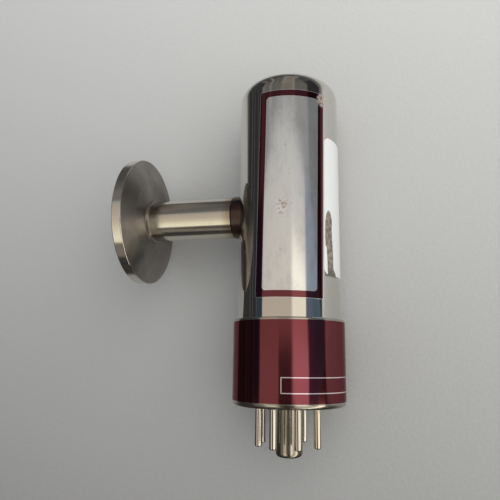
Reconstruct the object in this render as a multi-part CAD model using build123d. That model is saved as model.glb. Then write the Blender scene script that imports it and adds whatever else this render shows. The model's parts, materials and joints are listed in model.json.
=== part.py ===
from build123d import *

import os
from math import asin, cos, degrees, radians, sin, sqrt, tan

# A thermal conductivity vacuum gauge tube, lying on its side with its face label up.
# The origin is the centre of the port's sealing face. +X runs in along the port to the can's axis,
# +Y runs along the can to its domed end, and +Z is up. Lengths are in millimetres, angles in degrees.
# An angle around the can is measured from +Z towards +X.

# Port flange
flange_diameter = 40.0
flange_rim = 3.0
flange_edge = 0.3
flange_taper = 15.0
hub_diameter = 27.0
recess_diameter = 26.2
recess_depth = 3.0

# Port tube
port_reach = 48.75
tube_diameter = 12.7
tube_bore = 10.9
spigot_wall = 0.5
spigot_inside = 0.8
weld_leg = 0.9
weld_height = 0.55
weld_edge = 0.18
collar_length = 1.95
collar_wall = 0.55
collar_edge = 0.5

# Can
can_diameter = 30.0
can_wall = 0.8
can_above = 42.8
can_below = 40.0
shoulder_radius = 5.2
crown_radius = 30.0

# Label and sticker on the can
film_thickness = 0.08
label_centre = 12.3
label_width = 18.55
label_height = 60.25
label_middle = 3.45
label_corner = 0.6
label_skew = 0.95
sticker_thickness = 0.1
sticker_gap = 0.12
sticker_width = 14.6
sticker_height = 40.4
sticker_middle = 0.2
sticker_corner = 1.9

# Plug base
cement_gap = 0.2
cement_depth = 7.0
shell_wall = 0.8
shell_above_rim = 8.2
shell_below_rim = 15.6
shell_edge = 1.2
shell_top_edge = 0.25
shell_lip = 1.6
base_film = 0.1
film_below_top = 0.7
film_above_bottom = 1.5
film_seam = 1.0
wafer_thickness = 3.0

# Guide post
post_diameter = 7.5
post_wall = 0.8
post_reach = 14.6
post_end_radius = 1.3
post_head = 1.8
post_head_thickness = 0.6
key_width = 2.2
key_height = 1.1
key_short = 1.5
key_edge = 0.4
key_angle = 227.9

# Contact pins, on eight places around the post
place_count = 8
empty_place = 6
key_place = 8.5
contact_circle = 17.6
contact_diameter = 2.0
contact_bore = 1.2
contact_reach = 11.6
contact_tip = 0.35
contact_head = 0.5
contact_head_thickness = 0.5
contact_shank = 0.2
contact_shoulder = 0.3
contact_shoulder_edge = 0.1
solder_depth = 1.6
solder_bulge = 0.2

# Header in the can's open end
header_thickness = 2.0
header_weld_size = 0.9
header_weld_edge = 0.36
glass_diameter = 3.0
lead_diameter = 0.9

# Sensor
arm_above_header = 8.0
arm_spacing = 59.0
arm_bend = 2.0
arm_overrun = 0.6
filament_diameter = 0.1
crimp_diameter = 0.8
crimp_length = 1.5
spring_thickness = 0.12
spring_width = 1.2
spring_throw = 2.4
spring_height = 3.5
spring_pad = 0.6
spacer_below_arm = 4.4
spacer_thickness = 0.6
spacer_clearance = 0.2
spacer_window = 10.0
rod_collar = 0.75
rod_collar_thickness = 0.5

# Temperature compensator
compensator_above_header = 10.0
compensator_lead_top = 1.5
bobbin_core = 2.0
bobbin_flange = 3.2
bobbin_flange_thickness = 0.6
winding_thickness = 0.35

# Places of the leads that pass through the header
compensator_places = (3, 4)
long_place = 5
rod_place = 7
short_place = 8

# Radial clearance between pieces that slide together, and how far a cutter runs past what it cuts
fit_gap = 0.02
overshoot = 1.0

# Sizes that follow
can_radius = can_diameter / 2
can_inside = can_radius - can_wall
tube_radius = tube_diameter / 2
bore_radius = tube_bore / 2
spigot_radius = bore_radius + spigot_wall
shoulder_x = port_reach - can_radius - collar_length
spigot_end = port_reach - sqrt(can_inside**2 - spigot_radius**2) + spigot_inside
hub_x = flange_rim + (flange_diameter - hub_diameter) / 2 * tan(radians(flange_taper))
shell_inside = can_radius + cement_gap
shell_radius = shell_inside + shell_wall
rim_y = -can_below
shell_top = rim_y + shell_above_rim
shell_bottom = rim_y - shell_below_rim
wafer_face = shell_bottom + shell_wall
wafer_back = wafer_face + wafer_thickness
contact_end = wafer_face - contact_reach
contact_radius = contact_diameter / 2
contact_inside = contact_bore / 2
shank_radius = contact_radius + contact_shank
shoulder_y = wafer_face - contact_shoulder
lead_radius = lead_diameter / 2
lead_end = contact_end + solder_bulge
header_back = rim_y + header_thickness
lower_arm = header_back + arm_above_header
upper_arm = lower_arm + arm_spacing
spacer_height = upper_arm - spacer_below_arm
compensator_height = header_back + compensator_above_header
filament_radius = filament_diameter / 2
filament_foot = lower_arm + lead_radius
spring_top = upper_arm - lead_radius
spring_foot = spring_top - spring_height
used_places = [place for place in range(1, place_count + 1) if place != empty_place]
lead_places = (*compensator_places, long_place, rod_place, short_place)

can_axis = Axis((port_reach, 0, 0), (0, 1, 0))
port_axis = Axis.X


def place_angle(place):
    """The angle around the can of a numbered place on the plug, counted on from the key."""
    return key_angle + (place - key_place) * 360 / place_count


def on_circle(radius, angle, y):
    """The point at a radius and an angle around the can's axis."""
    return (port_reach + radius * sin(radians(angle)), y, radius * cos(radians(angle)))


def turned(axis, *corners):
    """A solid turned around the can or the port. A corner is a place, and a radius where it is round.

    Around the can a corner is given as radius and height, around the port as distance and radius.
    """
    shift = port_reach if axis is can_axis else 0
    points = [(corner[0] + shift, corner[1]) for corner in corners]
    radii = [corner[2] if len(corner) > 2 else 0 for corner in corners]
    edge = FilletPolyline(*points, radius=radii, close=True)
    return revolve(make_face(edge), axis)


def upright(radius, bottom, top):
    """A cylinder along the can's axis."""
    base = Plane((port_reach, bottom, 0), z_dir=(0, 1, 0))
    return extrude(base * Circle(radius), top - bottom)


def shifted(shape, angle):
    """A piece turned around the can's axis, moved out to a place on the contact circle."""
    x, y, z = on_circle(contact_circle / 2, angle, 0)
    return Pos(x - port_reach, y, z) * shape


def domed(radius, shoulder, crown, apex, foot):
    """A round bar with a domed end: a shoulder arc that runs into a shallow spherical crown."""
    crown_y = apex - crown
    bend_y = crown_y + sqrt((crown - shoulder) ** 2 - (radius - shoulder) ** 2)
    lean = asin((radius - shoulder) / (crown - shoulder))
    half = radians(45) - lean / 2
    x = port_reach
    meet = (x + crown * sin(lean), crown_y + crown * cos(lean))
    mid_shoulder = (x + radius - shoulder + shoulder * cos(half), bend_y + shoulder * sin(half))
    mid_crown = (x + crown * sin(lean / 2), crown_y + crown * cos(lean / 2))
    edges = [
        Line((x, foot), (x + radius, foot)),
        Line((x + radius, foot), (x + radius, bend_y)),
        ThreePointArc((x + radius, bend_y), mid_shoulder, meet),
        ThreePointArc(meet, mid_crown, (x, apex)),
        Line((x, apex), (x, foot)),
    ]
    return revolve(make_face(edges), can_axis)


def can():
    outside = domed(can_radius, shoulder_radius, crown_radius, can_above, rim_y)
    inside = domed(
        can_inside,
        shoulder_radius - can_wall,
        crown_radius - can_wall,
        can_above - can_wall,
        rim_y - overshoot,
    )
    port_hole = extrude(Plane.YZ * Circle(spigot_radius + fit_gap), port_reach)
    return outside - inside - port_hole


def port_tube():
    return turned(
        port_axis,
        (recess_depth, bore_radius),
        (recess_depth, tube_radius),
        (shoulder_x, tube_radius),
        (shoulder_x, spigot_radius),
        (spigot_end, spigot_radius),
        (spigot_end, bore_radius),
    )


def port_collar():
    """The brazed ring fills the corner between the tube's shoulder and the can."""
    ring = turned(
        port_axis,
        (shoulder_x, spigot_radius),
        (shoulder_x, spigot_radius + collar_wall, collar_edge),
        (spigot_end, spigot_radius + collar_wall),
        (spigot_end, spigot_radius),
    )
    return ring - upright(can_radius, rim_y, can_above)


def port_flange():
    rim_radius = flange_diameter / 2
    return turned(
        port_axis,
        (0, recess_diameter / 2),
        (0, rim_radius, flange_edge),
        (flange_rim, rim_radius, flange_edge),
        (hub_x, hub_diameter / 2),
        (hub_x, tube_radius + fit_gap),
        (recess_depth, tube_radius + fit_gap),
        (recess_depth, recess_diameter / 2),
    )


def flange_weld():
    return turned(
        port_axis,
        (hub_x, tube_radius),
        (hub_x, tube_radius + weld_height),
        (hub_x + weld_leg, tube_radius + weld_height / 2, weld_edge),
        (hub_x + weld_leg, tube_radius),
    )


def patch(outline, thickness, centre, height, skew=0):
    """A thin film on the can, cut by an outline that is drawn flat at an angle around the can."""
    out = on_circle(1, centre, 0)
    along = on_circle(1, centre + 90, 0)
    flat = Plane(
        (port_reach, height, 0),
        x_dir=(along[0] - port_reach, 0, along[2]),
        z_dir=(out[0] - port_reach, 0, out[2]),
    )
    cutter = extrude(flat * (Rot(0, 0, -skew) * outline), can_diameter)
    sleeve = upright(can_radius + thickness, rim_y, can_above)
    sleeve -= upright(can_radius, rim_y, can_above)
    return sleeve & cutter


def face_label():
    outline = RectangleRounded(label_width, label_height, label_corner)
    return patch(outline, film_thickness, label_centre, label_middle, label_skew)


def sticker_angle():
    """The sticker's centre, so that its edge lies just clear of the label's edge."""
    label_half = asin(label_width / 2 / can_radius)
    sticker_half = asin(sticker_width / 2 / can_radius)
    return label_centre + degrees(label_half + sticker_half + sticker_gap / can_radius)


def torn_strip():
    """What is missing from the sticker, drawn as arc lengths from its edge and heights."""
    tear = [
        (1.4, -1.0),
        (1.3, 0.9),
        (1.2, 4.3),
        (0.9, 7.6),
        (0.4, 8.3),
        (0.3, 12.0),
        (0.4, 15.4),
        (0.8, 17.3),
        (1.6, 18.6),
        (2.7, 18.1),
        (3.6, 15.9),
        (3.4, 13.2),
        (3.6, 10.3),
        (3.9, 8.1),
        (4.2, 2.1),
        (5.6, 0.2),
        (5.9, -1.0),
    ]
    half = asin(sticker_width / 2 / can_radius)
    return [(can_radius * sin(arc / can_radius - half), up - sticker_height / 2) for arc, up in tear]


def serial_sticker():
    """White paper, with a strip torn out of its lower end beside the label."""
    outline = RectangleRounded(sticker_width, sticker_height, sticker_corner)
    outline -= make_face(Polyline(*torn_strip(), close=True))
    return patch(outline, sticker_thickness, sticker_angle(), sticker_middle, label_skew)


def base_shell():
    return turned(
        can_axis,
        (shell_inside, shell_top),
        (shell_radius, shell_top, shell_top_edge),
        (shell_radius, shell_bottom, shell_edge),
        (shell_inside - shell_lip, shell_bottom),
        (shell_inside - shell_lip, wafer_face),
        (shell_inside, wafer_face, shell_edge - shell_wall),
    )


def base_label():
    top = shell_top - film_below_top
    bottom = shell_bottom + film_above_bottom
    sleeve = upright(shell_radius + base_film, bottom, top) - upright(shell_radius, bottom, top)
    seam = Pos(port_reach, (top + bottom) / 2, -shell_radius) * Box(film_seam, top - bottom, shell_radius)
    return sleeve - seam


def base_cement():
    top = shell_top - shell_top_edge
    return upright(shell_inside, top - cement_depth, top) - upright(can_radius, top - cement_depth, top)


def base_wafer():
    wafer = turned(
        can_axis,
        (post_diameter / 2 + fit_gap, wafer_face),
        (shell_inside - fit_gap, wafer_face, shell_edge - shell_wall),
        (shell_inside - fit_gap, wafer_back),
        (post_diameter / 2 + fit_gap, wafer_back),
    )
    hole = upright(shank_radius + fit_gap, wafer_face, wafer_back)
    for place in used_places:
        wafer -= shifted(hole, place_angle(place))
    return wafer


def guide_post():
    """A drawn cup with a key along its side, headed over the wafer's back."""
    radius = post_diameter / 2
    end = wafer_face - post_reach
    cup = turned(
        can_axis,
        (0, end),
        (radius, end, post_end_radius),
        (radius, wafer_back),
        (radius + post_head, wafer_back),
        (radius + post_head, wafer_back + post_head_thickness),
        (radius - post_wall, wafer_back + post_head_thickness),
        (radius - post_wall, end + post_wall, post_end_radius - post_wall),
        (0, end + post_wall),
    )
    key_length = post_reach - key_short
    key_depth = key_height + post_wall / 2
    key = Box(key_width, key_length, key_depth)
    key = fillet(key.edges().filter_by(Axis.Y), key_edge)
    angle = place_angle(key_place)
    x, y, z = on_circle(radius + key_height - key_depth / 2, angle, wafer_face - key_length / 2)
    return cup + Pos(x, y, z) * Rot(0, angle, 0) * key


def contact_pin(place):
    """A hollow pin with a thicker shank in the wafer, headed over the wafer's back."""
    top = wafer_back + contact_head_thickness
    pin = turned(
        can_axis,
        (contact_inside, top),
        (contact_radius + contact_head, top),
        (contact_radius + contact_head, wafer_back),
        (shank_radius, wafer_back),
        (shank_radius, shoulder_y, contact_shoulder_edge),
        (contact_radius, shoulder_y),
        (contact_radius, contact_end, contact_tip),
        (contact_inside, contact_end),
    )
    return shifted(pin, place_angle(place))


def pin_solder():
    """Solder closes each tip, around the lead where the pin has one."""
    cap_radius = contact_radius - contact_tip
    plug = upright(contact_inside, contact_end, contact_end + solder_depth)
    bead_radius = (cap_radius**2 + solder_bulge**2) / (2 * solder_bulge)
    bead = Pos(port_reach, contact_end - solder_bulge + bead_radius, 0) * Sphere(bead_radius)
    bead &= upright(cap_radius, contact_end - overshoot, contact_end)
    plug += bead
    lead_hole = upright(lead_radius, lead_end, contact_end + solder_depth + overshoot)
    solder = []
    for place in used_places:
        filled = plug - lead_hole if place in lead_places else plug
        solder += shifted(filled, place_angle(place)).solids()
    return Compound(solder)


def header_plate():
    plate = upright(can_inside - fit_gap, rim_y, header_back)
    hole = upright(glass_diameter / 2, rim_y, header_back)
    for place in lead_places:
        plate -= shifted(hole, place_angle(place))
    return plate


def header_weld():
    """The bead runs around the joint between the can's rim and the plate."""
    half = header_weld_size / 2
    return turned(
        can_axis,
        (can_inside - half, rim_y),
        (can_inside - half, rim_y - half, header_weld_edge),
        (can_inside + half, rim_y - half, header_weld_edge),
        (can_inside + half, rim_y),
    )


def glass_seals():
    bead = upright(glass_diameter / 2, rim_y, header_back) - upright(lead_radius, rim_y, header_back)
    return Compound([s for place in lead_places for s in shifted(bead, place_angle(place)).solids()])


def straight_lead(place, top):
    return shifted(upright(lead_radius, lead_end, top), place_angle(place))


def bent_lead(place, arm):
    """A lead that rises from its pin and turns in over the can's axis."""
    angle = place_angle(place)
    foot = on_circle(contact_circle / 2, angle, lead_end)
    corner = on_circle(contact_circle / 2, angle, arm)
    tip = on_circle(-arm_overrun, angle, arm)
    path = FilletPolyline(foot, corner, tip, radius=[arm_bend])
    return sweep(Plane(foot, z_dir=(0, 1, 0)) * Circle(lead_radius), path=path)


def support_rod():
    """The rod carries the spacer between a collar and a headed end."""
    below = spacer_height - rod_collar_thickness
    above = spacer_height + spacer_thickness
    rod = upright(lead_radius, lead_end, above)
    rod += upright(lead_radius + rod_collar, below, spacer_height)
    rod += upright(lead_radius + rod_collar, above, above + rod_collar_thickness)
    return shifted(rod, place_angle(rod_place))


def upper_spacer():
    top = spacer_height + spacer_thickness
    spacer = upright(can_inside - spacer_clearance, spacer_height, top)
    spacer -= upright(spacer_window / 2, spacer_height, top)
    hole = upright(lead_radius + fit_gap, spacer_height, top)
    for place in (long_place, rod_place):
        spacer -= shifted(hole, place_angle(place))
    return spacer


def sensor_filament():
    return upright(filament_radius, filament_foot, spring_foot)


def filament_crimps():
    def crimp(bottom):
        top = bottom + crimp_length
        return upright(crimp_diameter / 2, bottom, top) - upright(filament_radius, bottom, top)

    return Compound(
        crimp(filament_foot).solids() + crimp(spring_foot - crimp_length).solids()
    )


def tension_spring():
    """A leaf bent into a V, from the upper arm down to the filament's crimp."""
    half = spring_thickness / 2
    x = port_reach
    middle = Polyline(
        (x - spring_pad, spring_foot + half),
        (x + spring_pad, spring_foot + half),
        (x + spring_throw, (spring_foot + spring_top) / 2),
        (x + spring_pad, spring_top - half),
        (x - spring_pad, spring_top - half),
    )
    return extrude(trace(middle, spring_thickness), spring_width / 2, both=True)


def compensator_axis():
    """The plane across one compensator lead that faces the other, and the gap between the two."""
    here = Vector(on_circle(contact_circle / 2, place_angle(compensator_places[0]), compensator_height))
    there = Vector(on_circle(contact_circle / 2, place_angle(compensator_places[1]), compensator_height))
    towards = (there - here).normalized()
    gap = (there - here).length - lead_diameter - 2 * fit_gap
    return Plane(here + towards * (lead_radius + fit_gap), z_dir=towards), gap


def compensator_bobbin():
    plane, length = compensator_axis()
    bobbin = extrude(plane * Circle(bobbin_core / 2), length)
    for start in (0, length - bobbin_flange_thickness):
        flange = plane.offset(start) * Circle(bobbin_flange / 2)
        bobbin += extrude(flange, bobbin_flange_thickness)
    return bobbin


def compensator_winding():
    plane, length = compensator_axis()
    section = Circle(bobbin_core / 2 + winding_thickness) - Circle(bobbin_core / 2)
    wound = length - 2 * bobbin_flange_thickness
    return extrude(plane.offset(bobbin_flange_thickness) * section, wound)


pieces = {
    "can": can(),
    "port_tube": port_tube(),
    "port_collar": port_collar(),
    "port_flange": port_flange(),
    "flange_weld": flange_weld(),
    "face_label": face_label(),
    "serial_sticker": serial_sticker(),
    "base_shell": base_shell(),
    "base_label": base_label(),
    "base_cement": base_cement(),
    "base_wafer": base_wafer(),
    "guide_post": guide_post(),
    "pin_solder": pin_solder(),
    "header_plate": header_plate(),
    "header_weld": header_weld(),
    "glass_seals": glass_seals(),
    "sensor_post_long": bent_lead(long_place, upper_arm),
    "sensor_post_short": bent_lead(short_place, lower_arm),
    "support_rod": support_rod(),
    "upper_spacer": upper_spacer(),
    "sensor_filament": sensor_filament(),
    "filament_crimps": filament_crimps(),
    "tension_spring": tension_spring(),
    "compensator_bobbin": compensator_bobbin(),
    "compensator_winding": compensator_winding(),
}
compensator_top = compensator_height + compensator_lead_top
pieces["compensator_leads"] = Compound(
    [s for place in compensator_places for s in straight_lead(place, compensator_top).solids()]
)
for place in used_places:
    pieces[f"contact_pin_{place}"] = contact_pin(place)

os.makedirs("parts", exist_ok=True)
for name, piece in pieces.items():
    export_step(piece, f"parts/{name}.step")
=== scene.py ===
import json
from math import asin, cos, pi, radians, sin

import bpy
from mathutils import Matrix, Vector


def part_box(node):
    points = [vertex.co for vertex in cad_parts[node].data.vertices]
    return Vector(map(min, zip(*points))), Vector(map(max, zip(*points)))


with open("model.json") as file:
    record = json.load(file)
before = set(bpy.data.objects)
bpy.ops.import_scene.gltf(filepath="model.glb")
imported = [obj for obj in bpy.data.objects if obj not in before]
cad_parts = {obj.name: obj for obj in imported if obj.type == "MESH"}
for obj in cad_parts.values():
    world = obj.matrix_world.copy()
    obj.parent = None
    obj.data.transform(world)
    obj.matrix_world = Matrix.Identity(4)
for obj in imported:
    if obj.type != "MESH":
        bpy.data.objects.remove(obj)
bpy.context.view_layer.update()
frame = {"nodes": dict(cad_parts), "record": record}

# A vacuum gauge lying on a pale table. Places are in metres in the part's frame: +X runs in along the port,
# +Y along the can to its dome and +Z up. The prints and the wear are in millimetres, and angles in degrees.

mm = 0.001
can_low, can_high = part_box("can")
can_x = (can_low.x + can_high.x) / 2
can_radius = (can_high.x - can_low.x) / 2
label_radius = (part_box("base_label")[1].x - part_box("base_label")[0].x) / 2
flange_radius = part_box("port_flange")[1].z

# Camera, from the outlines of flange, tube, can, base and pins in the photograph
camera_place = Vector((74.955, -42.550, 153.048)) * mm
camera_looks = Vector((-0.23729, 0.20010, -0.95061))
camera_up = Vector((0.03500, 0.97968, 0.19749))
photo_side = 500
focal_pixels = 526.99
sensor_width = 36.0
nearest_shown = 0.005

# Where the gauge touches the table
flange_foot_x = 3.0 * mm
label_foot_y = -32.5 * mm
can_foot_y = 35.0 * mm
settling_rounds = 8

# Table: painted shade and painted light take it from grey in front to pale at the back, standing in for the
# falloff of the light. Polished metal shows it with a painted dark reflection beyond three lines, of which
# the left one runs at a slant behind slant_start.
table_size = 4.0
painted_light_fade = (-0.11, 0.11)
front_painted_shade = (0.262, 0.262, 0.255)
back_painted_light = (0.60, 0.60, 0.588)
table_grain = 900.0
grain_share = 0.06
dark_mirror_left = (-0.05, -0.025)
slant_start = -0.03
slant = 1.6
dark_mirror_front = (-0.085, -0.055)
dark_mirror_back = (0.06, 0.14)
mirrored_near = (0.03, 0.028, 0.026)
mirrored_back = (0.10, 0.10, 0.095)

# Face label: its angle around the can, the height of its middle, its outline and its border
label_angle = 12.3
label_middle = 3.45
label_width = 18.55
label_height = 60.25
label_skew = 0.95
border_side = 1.85
border_end = 2.0
field_corner = 0.9
film_corner = 0.6
film_margin = 0.12
print_line = 0.14
line_softness = 0.04

# Wear of the face label: where it is, across and up from the label's middle, and its half width and height
worn_corner = (8.75, 28.2)
worn_corner_size = (1.7, 2.0)
stain = (-2.9, -4.9)
stain_size = (1.6, 2.2)

# Thin outlined box on the base label, by angle around the can and height along it
box_left = 2.4
box_right = 104.0
box_top = -47.45
box_bottom = -51.4
box_line = 0.26

# Top of the dome: the crown's radius, and how far out and above what height its worked-out normal is used
crown_radius = 29.9
crown_share = (2.3, 2.6)
crown_height = (42.2, 42.4)

# Heat tint at the root of the port tube, in millimetres from the can's axis
heat_tint = (-20.3, -17.0)

# Guide post and pins, in millimetres from the can's axis
post_skin = (4.3, 5.6)
brassy_side = (3.0, 7.0)

# Serial sticker and its tear: tear_start is the torn strip's distance from the sticker's edge, and tear_below
# how far it reaches below the sticker's foot
sticker_height = 40.4
sticker_middle = 0.2
sticker_gap = 0.12
tear_start = 0.15
tear_width = 5.6
tear_below = 0.4
tear_height = 19.5
tear_softness = (0.1, 0.3)
dark_glue_height = 3.0

# Rim of the flange: how far inside its outer edge the rim's finish starts, and how far inside it is full
rim_finish = (0.35, 0.1)

# Colour of both labels' prints, as linear red, green and blue like all colours here
maroon = (0.185, 0.042, 0.054)


class Wires:
    """The nodes of a material or of the world. Most methods add a node and return its output."""

    def __init__(self, tree):
        self.nodes = tree.nodes
        self.links = tree.links

    def feed(self, socket, value):
        if isinstance(value, bpy.types.NodeSocket):
            self.links.new(value, socket)
        elif isinstance(value, tuple) and len(value) == 3 and len(socket.default_value) == 4:
            socket.default_value = (*value, 1.0)
        else:
            socket.default_value = value

    def add(self, kind, inputs=None, **settings):
        node = self.nodes.new("ShaderNode" + kind)
        for name, value in settings.items():
            setattr(node, name, value)
        for key, value in (inputs or {}).items():
            self.feed(node.inputs[key], value)
        return node

    def math(self, operation, *values):
        return self.add("Math", dict(enumerate(values)), operation=operation).outputs[0]

    def plus(self, *values):
        total = values[0]
        for value in values[1:]:
            total = self.math("ADD", total, value)
        return total

    def times(self, *values):
        product = values[0]
        for value in values[1:]:
            product = self.math("MULTIPLY", product, value)
        return product

    def minus(self, a, b):
        return self.math("SUBTRACT", a, b)

    def split(self, vector):
        return self.add("SeparateXYZ", {0: vector}).outputs

    def join(self, x, y, z):
        return self.add("CombineXYZ", {0: x, 1: y, 2: z}).outputs[0]

    def length(self, a, b):
        """The length of a line with the two sides a and b."""
        return self.math("SQRT", self.plus(self.times(a, a), self.times(b, b)))

    def angle(self, x, z):
        """The angle in degrees from +Z towards +X."""
        return self.times(self.math("ARCTAN2", x, z), 180 / pi)

    def step(self, value, low, high, start=0.0, end=1.0):
        """Rises smoothly from start at low to end at high."""
        inputs = {"Value": value, "From Min": low, "From Max": high, "To Min": start, "To Max": end}
        return self.add("MapRange", inputs, interpolation_type="SMOOTHSTEP").outputs[0]

    def ramp(self, value, low, high, start=0.0, end=1.0):
        inputs = {"Value": value, "From Min": low, "From Max": high, "To Min": start, "To Max": end}
        return self.add("MapRange", inputs).outputs[0]

    def band(self, value, low, high, soft):
        """One between low and high, with soft edges."""
        rise = self.step(value, low - soft, low + soft)
        fall = self.step(value, high - soft, high + soft, 1.0, 0.0)
        return self.times(rise, fall)

    def mix(self, share, a, b):
        node = self.add("Mix", {0: share, 6: a, 7: b}, data_type="RGBA")
        return node.outputs[2]

    def noise(self, vector, scale, detail=2.0, rough=0.5, stretch=(1.0, 1.0, 1.0), shift=(0.0, 0.0, 0.0)):
        mapped = self.add("Mapping", {"Vector": vector, "Scale": stretch, "Location": shift}).outputs[0]
        inputs = {"Vector": mapped, "Scale": scale, "Detail": detail, "Roughness": rough}
        return self.add("TexNoise", inputs).outputs[0]

    def bump(self, height, distance, below=None):
        """A normal that is bent by the height, which is up to the distance in metres."""
        inputs = {"Height": height, "Distance": distance}
        if below is not None:
            inputs["Normal"] = below
        return self.add("Bump", inputs).outputs[0]


class Look(Wires):
    """A material with one Principled shader."""

    def __init__(self, name):
        self.material = bpy.data.materials.new(name)
        self.material.use_nodes = True
        super().__init__(self.material.node_tree)
        self.shader = self.nodes["Principled BSDF"]

    def set(self, **sockets):
        """Sets sockets of the shader, named with underscores for spaces."""
        for name, value in sockets.items():
            self.feed(self.shader.inputs[name.replace("_", " ")], value)

    def place(self):
        """The point in millimetres, measured from the can's axis at the port."""
        coordinates = self.add("TexCoord").outputs["Object"]
        moved = self.add("VectorMath", {0: coordinates, 1: (can_x, 0.0, 0.0)}, operation="SUBTRACT")
        scaled = self.add("VectorMath", {0: moved.outputs[0], "Scale": 1 / mm}, operation="SCALE")
        return scaled.outputs[0]


def metal(name):
    """A bare metal that the caller gives its colour and roughness."""
    look = Look(name)
    look.set(Metallic=1.0)
    return look


def sticker_edge_angle():
    """The angle of the sticker's edge beside the face label, in degrees."""
    label_half = asin(label_width * mm / 2 / can_radius)
    return label_angle + (label_half + sticker_gap * mm / can_radius) * 180 / pi


def tear_zone(look, angle, y):
    """One where the sticker has torn away and left its glue."""
    arc = look.times(look.minus(angle, sticker_edge_angle()), can_radius / mm * pi / 180)
    up = look.minus(y, sticker_middle - sticker_height / 2)
    across = look.band(arc, tear_start, tear_width, tear_softness[0])
    along = look.band(up, -tear_below, tear_height, tear_softness[1])
    return look.times(across, along)


def dome_normal(look, x, y, z, radius):
    """The surface's normal, worked out at the very top of the dome, where the mesh's own normal leans."""
    outward = look.join(look.times(x, 1 / crown_radius), 1.0, look.times(z, 1 / crown_radius))
    ways = {"vector_type": "NORMAL", "convert_from": "OBJECT", "convert_to": "WORLD"}
    turned = look.add("VectorTransform", {0: outward}, **ways)
    share = look.times(look.step(radius, *crown_share, 1.0, 0.0), look.step(y, *crown_height))
    own = look.add("NewGeometry").outputs["Normal"]
    mixed = look.add("Mix", {0: share, 4: own, 5: turned.outputs[0]}, data_type="VECTOR").outputs[1]
    return look.add("VectorMath", {0: mixed}, operation="NORMALIZE").outputs[0]


def polished_can():
    """Polished steel with faint lines along the can, smudges and the glue where the sticker tore."""
    look = metal("polished_can")
    place = look.place()
    x, y, z = look.split(place)
    angle = look.angle(x, z)
    rolled = look.join(angle, look.times(y, 0.02), 0.0)
    radius = look.length(x, z)
    lines = look.times(look.noise(rolled, 0.9, 3.0, 0.6), look.step(radius, 0.5, 5.0))
    smudge = look.noise(place, 0.11, 3.0, 0.55)
    wave = look.noise(place, 0.07, 1.0, 0.4, stretch=(1.0, 0.5, 1.0))
    wavy = look.bump(wave, 0.00006, below=dome_normal(look, x, y, z, radius))
    smooth = look.bump(lines, 0.0000006, below=wavy)

    residue = tear_zone(look, angle, y)
    mottle = look.noise(place, 0.9, 4.0, 0.65)
    glue = look.mix(look.step(mottle, 0.38, 0.64), (0.13, 0.11, 0.088), (0.29, 0.25, 0.20))
    foot = sticker_middle - sticker_height / 2
    glue = look.mix(look.step(y, foot, foot + dark_glue_height, 0.8, 0.0), glue, (0.10, 0.10, 0.078))
    look.set(Base_Color=look.mix(residue, (0.66, 0.64, 0.60), glue))
    look.set(Metallic=look.ramp(residue, 0.0, 1.0, 1.0, 0.25))
    shine = look.plus(look.step(smudge, 0.5, 0.75, 0.04, 0.09), look.ramp(lines, 0.3, 0.7, 0.0, 0.02))
    look.set(Roughness=look.plus(shine, look.times(residue, 0.45)))
    look.set(Normal=look.bump(look.times(residue, mottle), 0.00008, below=smooth))
    return look.material


def turned_steel():
    """The flange: fine turned grooves on its faces, and a smoother, brighter rim."""
    look = metal("turned_steel")
    place = look.place()
    x, y, z = look.split(place)
    radius = look.length(y, z)
    edge = flange_radius / mm
    rim = look.step(radius, edge - rim_finish[0], edge - rim_finish[1])
    rings = look.noise(look.join(radius, x, 0.0), 3.0, 3.0, 0.6)
    cloud = look.noise(place, 0.12, 3.0, 0.6)
    face = look.mix(look.ramp(cloud, 0.3, 0.7), (0.29, 0.265, 0.25), (0.44, 0.41, 0.385))
    look.set(Base_Color=look.mix(rim, face, (0.64, 0.61, 0.56)))
    rough = look.plus(look.ramp(rim, 0.0, 1.0, 0.42, 0.14), look.ramp(rings, 0.3, 0.7, -0.04, 0.04))
    look.set(Roughness=rough, Normal=look.bump(rings, 0.0000012))
    look.set(Anisotropic=look.ramp(rim, 0.0, 1.0, 0.9, 0.5), Anisotropic_Rotation=0.25)
    look.set(Tangent=look.add("Tangent", direction_type="RADIAL", axis="X").outputs[0])
    return look.material


def port_steel():
    """The drawn tube, with the heat tint of the braze at its root."""
    look = metal("port_steel")
    place = look.place()
    streaks = look.noise(place, 1.6, 4.0, 0.6, stretch=(0.03, 1.0, 1.0))
    rings = look.noise(place, 2.5, 2.0, 0.5, stretch=(1.0, 0.02, 0.02))
    drawn = look.ramp(streaks, 0.3, 0.7, 0.09, 0.2)
    look.set(Roughness=look.plus(drawn, look.ramp(rings, 0.4, 0.7, 0.0, 0.04)))
    look.set(Normal=look.bump(streaks, 0.000002))
    x = look.split(place)[0]
    heat = look.step(look.plus(x, look.ramp(rings, 0.3, 0.7, -0.3, 0.3)), *heat_tint)
    look.set(Base_Color=look.mix(heat, (0.66, 0.63, 0.56), (0.44, 0.37, 0.27)))
    return look.material


def dark_braze():
    """The dark brazed ring at the root of the tube, cloudy and slightly rough."""
    look = metal("dark_braze")
    cloud = look.noise(look.place(), 0.4, 3.0, 0.55)
    look.set(Base_Color=look.mix(look.step(cloud, 0.4, 0.7), (0.075, 0.06, 0.058), (0.13, 0.075, 0.058)))
    look.set(Roughness=look.ramp(cloud, 0.3, 0.7, 0.24, 0.34), Normal=look.bump(cloud, 0.00003))
    return look.material


def weld_metal():
    """Dull metal with the ripple of a weld bead."""
    look = metal("weld_metal")
    ripple = look.noise(look.place(), 2.2, 2.0, 0.5)
    look.set(Base_Color=(0.42, 0.385, 0.34), Roughness=0.3, Normal=look.bump(ripple, 0.00003))
    return look.material


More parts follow.
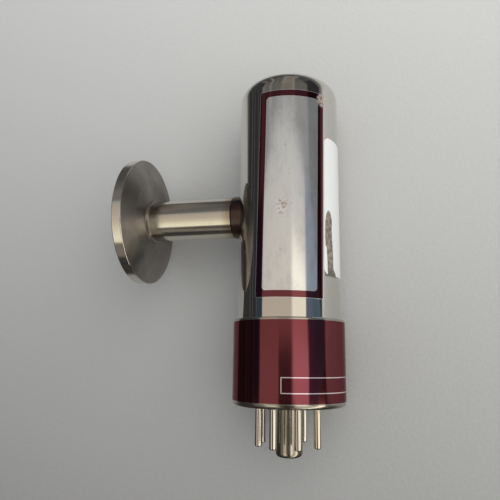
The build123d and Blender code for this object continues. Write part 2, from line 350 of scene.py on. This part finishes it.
def flat_label(look, place):
    """The point on the face label in its own flat outline: across and up, in millimetres from its middle."""
    x, y, z = look.split(place)
    lean = radians(label_angle)
    turn = radians(label_skew)
    across = look.minus(look.times(x, cos(lean)), look.times(z, sin(lean)))
    up = look.minus(y, label_middle)
    straight = look.minus(look.times(across, cos(turn)), look.times(up, sin(turn)))
    height = look.plus(look.times(across, sin(turn)), look.times(up, cos(turn)))
    return straight, height


def rounded_box(look, across, up, half_width, half_height, corner):
    """How far a point lies outside a rounded rectangle, in millimetres."""
    out_x = look.math("MAXIMUM", look.minus(look.math("ABSOLUTE", across), half_width - corner), 0.0)
    out_y = look.math("MAXIMUM", look.minus(look.math("ABSOLUTE", up), half_height - corner), 0.0)
    return look.minus(look.length(out_x, out_y), corner)


def oval(look, across, up, centre, size, place, ragged):
    """One inside a ragged oval on the label, fading to zero outside it."""
    x = look.times(look.minus(across, centre[0]), 1 / size[0])
    y = look.times(look.minus(up, centre[1]), 1 / size[1])
    edge = look.noise(place, 1.3, 4.0, 0.65)
    away = look.plus(look.length(x, y), look.ramp(edge, 0.3, 0.7, -ragged, ragged))
    return look.step(away, 0.75, 1.2, 1.0, 0.0)


def silver_film():
    """The face label: a scuffed silver field in a dark red border, with a stain and a worn corner."""
    look = Look("silver_film")
    place = look.place()
    across, up = flat_label(look, place)
    field = (label_width / 2 - border_side, label_height / 2 - border_end)
    outside = rounded_box(look, across, up, *field, field_corner)
    worn = oval(look, across, up, worn_corner, worn_corner_size, place, 0.2)
    border = look.times(look.step(outside, 0.02, 0.1), look.minus(1.0, worn))
    rim = rounded_box(look, across, up, label_width / 2, label_height / 2, film_corner)
    margin = look.step(rim, -film_margin - line_softness, -film_margin + line_softness, 1.0, 0.0)
    border = look.times(border, margin)
    line = look.band(outside, -print_line, 0.02, 0.05)

    scuff = look.noise(place, 0.25, 4.0, 0.6, stretch=(1.0, 0.4, 1.0), shift=(3.0, 1.0, 2.0))
    silver = look.mix(look.step(scuff, 0.45, 0.7), (0.83, 0.845, 0.84), (0.72, 0.73, 0.73))
    silver = look.mix(line, silver, (0.88, 0.86, 0.87))
    specks = look.times(look.step(look.noise(place, 2.2, 2.0, 0.5), 0.70, 0.74), 0.7)
    silver = look.mix(specks, silver, (0.10, 0.09, 0.07))
    brown = oval(look, across, up, stain, stain_size, place, 0.55)
    streak = look.noise(place, 1.1, 4.0, 0.7)
    brown_share = look.times(brown, look.step(streak, 0.42, 0.6, 0.15, 0.75))
    silver = look.mix(brown_share, silver, (0.23, 0.15, 0.09))
    worn_share = look.times(worn, look.step(streak, 0.42, 0.58, 0.45, 1.0))
    silver = look.mix(worn_share, silver, (0.33, 0.22, 0.19))
    look.set(Base_Color=look.mix(border, silver, maroon))
    marks = look.math("MAXIMUM", brown, worn)
    look.set(Metallic=look.plus(look.ramp(border, 0.0, 1.0, 0.88, 1.0), look.times(marks, -0.25)))
    look.set(Roughness=look.plus(look.ramp(border, 0.0, 1.0, 0.13, 0.09), look.times(marks, 0.15)))
    look.set(Coat_Weight=0.5, Coat_Roughness=0.05)
    return look.material


def red_film():
    """The base label: dark red film with a thin outlined box."""
    look = Look("red_film")
    place = look.place()
    x, y, z = look.split(place)
    half_angle = (box_right - box_left) / 2
    turned = look.minus(look.angle(x, z), box_left + half_angle)
    sideways = look.minus(look.math("ABSOLUTE", turned), half_angle)
    sideways = look.times(sideways, label_radius / mm * pi / 180)
    half_box = (box_top - box_bottom) / 2
    upwards = look.minus(look.math("ABSOLUTE", look.minus(y, box_bottom + half_box)), half_box)
    edge = look.math("ABSOLUTE", look.math("MAXIMUM", sideways, upwards))
    line = look.step(edge, box_line / 2 - line_softness, box_line / 2 + line_softness, 1.0, 0.0)
    tone = look.noise(place, 0.08, 2.0, 0.5)
    brighter = tuple(1.12 * part for part in maroon)
    film = look.mix(look.ramp(tone, 0.3, 0.7), maroon, brighter)
    look.set(Base_Color=look.mix(line, film, (0.72, 0.60, 0.61)))
    look.set(Metallic=look.ramp(line, 0.0, 1.0, 1.0, 0.6), Roughness=0.1)
    look.set(Specular_Tint=(0.5, 0.4, 0.42), Coat_Weight=0.25, Coat_Roughness=0.05)
    wave = look.noise(place, 0.12, 2.0, 0.5, stretch=(1.0, 0.4, 1.0))
    look.set(Normal=look.bump(wave, 0.00005))
    return look.material


def white_paper():
    """Slightly glossy paper of the sticker."""
    look = Look("white_paper")
    place = look.place()
    cloud = look.noise(place, 0.3, 3.0, 0.6)
    look.set(Base_Color=look.mix(cloud, (0.62, 0.625, 0.615), (0.67, 0.675, 0.665)), Roughness=0.35)
    look.set(Coat_Weight=0.2, Coat_Roughness=0.2)
    return look.material


def nickel():
    """Polished pins, a little brassy on the right, around a post with a duller, brushed skin."""
    look = metal("nickel")
    place = look.place()
    x, _, z = look.split(place)
    post = look.step(look.length(x, z), *post_skin, 1.0, 0.0)
    pins = look.mix(look.step(x, *brassy_side), (0.70, 0.665, 0.61), (0.72, 0.645, 0.54))
    streaks = look.noise(place, 1.5, 3.0, 0.6, stretch=(1.0, 0.05, 1.0))
    brushed = look.mix(look.step(streaks, 0.35, 0.65), (0.37, 0.34, 0.285), (0.56, 0.525, 0.45))
    look.set(Base_Color=look.mix(post, pins, brushed))
    polish = look.ramp(streaks, 0.3, 0.7, 0.03, 0.06)
    look.set(Roughness=look.plus(polish, look.times(post, 0.15)), Normal=look.bump(streaks, 0.000004))
    return look.material


def plain_metal(name, colour, roughness):
    """A metal of one colour with a fine grain in its shine."""
    look = metal(name)
    grain = look.noise(look.place(), 3.0, 2.0, 0.6)
    look.set(Base_Color=colour, Roughness=look.ramp(grain, 0.3, 0.7, roughness * 0.8, roughness * 1.2))
    return look.material


def plain_matte(name, colour, roughness):
    """A matte solid with a fine grain in its colour and surface."""
    look = Look(name)
    grain = look.noise(look.place(), 1.5, 3.0, 0.6)
    darker = tuple(0.82 * part for part in colour)
    look.set(Base_Color=look.mix(grain, darker, colour), Roughness=roughness)
    look.set(Normal=look.bump(grain, 0.00001))
    return look.material


def seal_glass():
    """The cloudy green glass around the leads."""
    look = Look("seal_glass")
    cloud = look.noise(look.place(), 2.0)
    look.set(Base_Color=look.mix(cloud, (0.12, 0.28, 0.25), (0.18, 0.38, 0.34)))
    look.set(Roughness=0.08, Coat_Weight=0.5)
    return look.material


looks = {
    "polished_can": polished_can(),
    "turned_steel": turned_steel(),
    "port_steel": port_steel(),
    "braze": dark_braze(),
    "weld": weld_metal(),
    "silver_film": silver_film(),
    "red_film": red_film(),
    "white_paper": white_paper(),
    "shell_steel": plain_metal("shell_steel", (0.46, 0.435, 0.39), 0.2),
    "nickel": nickel(),
    "solder": plain_metal("solder", (0.75, 0.74, 0.73), 0.22),
    "cement": plain_matte("cement", (0.52, 0.47, 0.40), 0.8),
    "wafer_plastic": plain_matte("wafer_plastic", (0.045, 0.03, 0.025), 0.4),
    "seal_glass": seal_glass(),
    "lead_alloy": plain_metal("lead_alloy", (0.52, 0.49, 0.44), 0.3),
    "ceramic": plain_matte("ceramic", (0.84, 0.82, 0.76), 0.6),
    "gold_wire": plain_metal("gold_wire", (0.85, 0.62, 0.26), 0.25),
    "spring_metal": plain_metal("spring_metal", (0.62, 0.44, 0.24), 0.3),
}

for part in frame["record"]["subparts"]:
    mesh = frame["nodes"][part["node"]].data
    mesh.materials.clear()
    mesh.materials.append(looks[part["material_slot"]])


def table_plane():
    """A point of the table and its normal: the table touches the flange, the base label and the can."""
    normal = Vector((0.0, 0.0, 1.0))
    rings = (
        (Vector((flange_foot_x, 0, 0)), "x", flange_radius),
        (Vector((can_x, label_foot_y, 0)), "y", label_radius),
        (Vector((can_x, can_foot_y, 0)), "y", can_radius),
    )
    for _ in range(settling_rounds):
        feet = []
        for centre, axis, radius in rings:
            down = Vector((0, -normal.y, -normal.z)) if axis == "x" else Vector((-normal.x, 0, -normal.z))
            feet.append(centre + down.normalized() * radius)
        normal = (feet[1] - feet[0]).cross(feet[2] - feet[0]).normalized()
        if normal.z < 0:
            normal = -normal
    return feet[0], normal


def table_top():
    """Pale with a fine grain, with painted shade in front and painted light at the back. In what polished
    metal shows of it, it has a painted dark reflection beyond three lines.
    """
    look = Look("table_top")
    grain = look.noise(look.add("TexCoord").outputs["Object"], table_grain, 3.0, 0.6)
    x, y, _ = look.split(look.add("NewGeometry").outputs["Position"])
    # painted shade in front and painted light at the back: the table's tone ramps along y
    painted_light_tone = look.mix(look.ramp(y, *painted_light_fade), front_painted_shade, back_painted_light)
    painted_light_tone = look.mix(look.ramp(grain, 0.0, 1.0, 0.0, grain_share), painted_light_tone, (1.0, 1.0, 1.0))

    # painted dark reflection: glossy rays see the table dark past the three lines
    slanted = look.plus(x, look.times(look.math("MAXIMUM", look.minus(y, slant_start), 0.0), slant))
    near = look.times(look.step(slanted, *dark_mirror_left), look.step(y, *dark_mirror_front))
    back = look.step(y, *dark_mirror_back)
    glossy = look.add("LightPath").outputs["Is Glossy Ray"]
    colour = look.mix(look.times(glossy, look.minus(1.0, near)), painted_light_tone, mirrored_near)
    colour = look.mix(look.times(glossy, back), colour, mirrored_back)
    look.set(Base_Color=colour, Roughness=0.7, Normal=look.bump(grain, 0.0001))
    return look.material


def table():
    foot, normal = table_plane()
    mesh = bpy.data.meshes.new("table")
    half = table_size / 2
    corners = [(-half, -half, 0), (half, -half, 0), (half, half, 0), (-half, half, 0)]
    mesh.from_pydata(corners, [], [(0, 1, 2, 3)])
    mesh.materials.append(table_top())
    top = bpy.data.objects.new("table", mesh)
    bpy.context.scene.collection.objects.link(top)
    top.rotation_mode = "QUATERNION"
    top.rotation_quaternion = Vector((0, 0, 1)).rotation_difference(normal)
    top.location = foot


table()


# What polished metal shows of the room, by direction: right = x/z and away = y/z, as on a flat ceiling. The
# height z counts as no less than lowest_height. Beside the ceiling panel the room is dark.
lowest_height = 0.03
plain_light = (0.45, 0.46, 0.47)
dark_room = (0.036, 0.036, 0.038)
panel_sides = (-1.22, 1.06)
side_softness = 0.04

# Each patch is a colour, its range to the right, its range away, the softness of its edges and its share
room_patches = (
    ((0.035, 0.055, 0.075), (-2.33, -1.22), (-0.2, 0.55), 0.08, 1.0),
    ((0.13, 0.155, 0.21), (1.06, 99.0), (-0.2, 0.62), 0.05, 1.0),
    ((0.075, 0.12, 0.16), (1.9, 99.0), (-0.2, 0.62), 0.5, 0.8),
    ((1.08, 1.0, 0.84), (0.29, 1.06), (-1.21, 0.24), 0.06, 1.0),
    ((0.14, 0.125, 0.115), (-0.16, 0.27), (-1.0, 0.03), 0.04, 0.95),
    ((1.45, 1.38, 1.28), (0.33, 1.14), (-0.25, 0.05), 0.05, 1.0),
)

# Patches of the room's front, a colour and its range to the right: the pins, the post, the lip and the flange
# show them, where the direction's y is below front_edge
front_patches = (
    ((0.24, 0.22, 0.185), (-2.4, -0.84)),
    ((0.035, 0.033, 0.030), (-0.22, 0.42)),
    ((0.80, 0.74, 0.62), (1.06, 2.5)),
    ((2.4, 2.2, 1.85), (2.5, 30.0)),
)
front_edge = (-0.10, -0.08)

# Colour of the ceiling panel along away
panel_range = (-1.5, 1.5)
panel_levels = (
    (-1.40, (0.08, 0.07, 0.065)),
    (-1.20, (0.30, 0.28, 0.24)),
    (-1.10, (1.22, 1.18, 0.94)),
    (-0.85, (1.20, 1.14, 0.90)),
    (-0.50, (0.97, 0.90, 0.71)),
    (-0.15, (0.70, 0.63, 0.52)),
    (0.10, (0.61, 0.53, 0.45)),
    (0.45, (0.47, 0.45, 0.42)),
    (0.54, (0.17, 0.17, 0.17)),
    (0.90, (0.10, 0.105, 0.105)),
)

# The wall behind the ceiling's far end, which the dome shows: a grey field that fades as it goes away, and
# strips of it by their range of x and their share. lean makes them narrower as they go away.
wall_start = (0.50, 0.60)
wall_sides = (-0.82, 0.80)
wall_softness = 0.03
wall_fade = (0.7, 1.6)
wall_least = 0.3
wall_colour = (0.15, 0.145, 0.145)
strip_colour = (0.29, 0.255, 0.23)
strip_softness = 0.012
lean_range = (0.6, 1.8)
lean_most = 1.42
wall_strips = (
    (-0.80, -0.69, 0.4),
    (-0.53, -0.46, 0.8),
    (-0.30, -0.27, 0.25),
    (-0.12, 0.36, 0.7),
    (-0.04, 0.02, 0.8),
    (0.27, 0.34, 0.9),
    (0.55, 0.58, 0.25),
    (0.66, 0.70, 0.2),
)

# Thin lines of light on the left: angle around the can's axis, width in degrees and brightness
thin_lights = ((-85.0, 0.9, 0.17), (-77.0, 0.7, 0.15), (-66.0, 1.0, 0.12))
thin_light_softness = 0.35


def room():
    """A plain room for diffuse light, with the panel, window and dark corners that polished metal shows."""
    world = bpy.data.worlds.new("room")
    bpy.context.scene.world = world
    world.use_nodes = True
    wires = Wires(world.node_tree)
    x, y, z = wires.split(wires.add("TexCoord").outputs["Generated"])
    height = wires.math("MAXIMUM", z, lowest_height)
    right = wires.math("DIVIDE", x, height)
    away = wires.math("DIVIDE", y, height)

    low, high = panel_range
    panel = wires.add("ValToRGB", {0: wires.ramp(away, low, high)})
    stops = panel.color_ramp.elements
    for number, (at, colour) in enumerate(panel_levels):
        stop = stops[number] if number < 2 else stops.new(1.0)
        stop.position = (at - low) / (high - low)
        stop.color = (*colour, 1.0)

    colour = wires.mix(wires.band(right, *panel_sides, side_softness), dark_room, panel.outputs[0])
    for shade, sides, ends, soft, share in room_patches:
        patch = wires.times(wires.band(right, *sides, soft), wires.band(away, *ends, soft), share)
        colour = wires.mix(patch, colour, shade)
    front = wires.step(y, *front_edge, 1.0, 0.0)
    for shade, sides in front_patches:
        patch = wires.times(wires.band(right, *sides, side_softness), front)
        colour = wires.mix(patch, colour, shade)
    turn = wires.angle(x, z)
    for angle, width, level in thin_lights:
        line = wires.band(turn, angle - width / 2, angle + width / 2, thin_light_softness)
        colour = wires.mix(line, colour, (level, level * 1.05, level * 1.1))

    behind = wires.step(away, *wall_start)
    lean = wires.times(x, wires.ramp(away, *lean_range, 1.0, lean_most))
    wall = wires.times(wires.band(lean, *wall_sides, wall_softness), behind)
    colour = wires.mix(wires.times(wall, wires.step(away, *wall_fade, 1.0, wall_least)), colour, wall_colour)
    for left, past, share in wall_strips:
        strip = wires.times(wires.band(lean, left, past, strip_softness), behind, share)
        colour = wires.mix(strip, colour, strip_colour)

    is_glossy = wires.add("LightPath").outputs["Is Glossy Ray"]
    shown = wires.mix(is_glossy, plain_light, colour)
    wires.feed(wires.nodes["Background"].inputs["Color"], shown)


room()


lamp_place = Vector((0.27, 0.05, 0.31))
lamp_side = 0.70
lamp_power = 2.6
lamp_colour = (1.0, 0.985, 0.96)


def lamp():
    """A soft area lamp that shines at the gauge from the right and isn't seen in polished metal."""
    data = bpy.data.lights.new("key_lamp", "AREA")
    data.shape = "SQUARE"
    data.size = lamp_side
    data.energy = lamp_power
    data.color = lamp_colour
    light = bpy.data.objects.new("key_lamp", data)
    light.location = lamp_place
    light.rotation_mode = "QUATERNION"
    light.rotation_quaternion = (lamp_place - Vector((can_x, 0, 0))).to_track_quat("Z", "Y")
    light.visible_glossy = False
    bpy.context.scene.collection.objects.link(light)


lamp()


def camera():
    data = bpy.data.cameras.new("camera")
    data.sensor_width = sensor_width
    data.lens = focal_pixels * sensor_width / photo_side
    data.clip_start = nearest_shown
    eye = bpy.data.objects.new("camera", data)
    back = -camera_looks.normalized()
    right = camera_up.cross(back).normalized()
    up = back.cross(right)
    eye.matrix_world = Matrix.Translation(camera_place) @ Matrix((right, up, back)).transposed().to_4x4()
    bpy.context.scene.collection.objects.link(eye)
    bpy.context.scene.camera = eye


camera()
bpy.context.scene.view_settings.view_transform = "Standard"
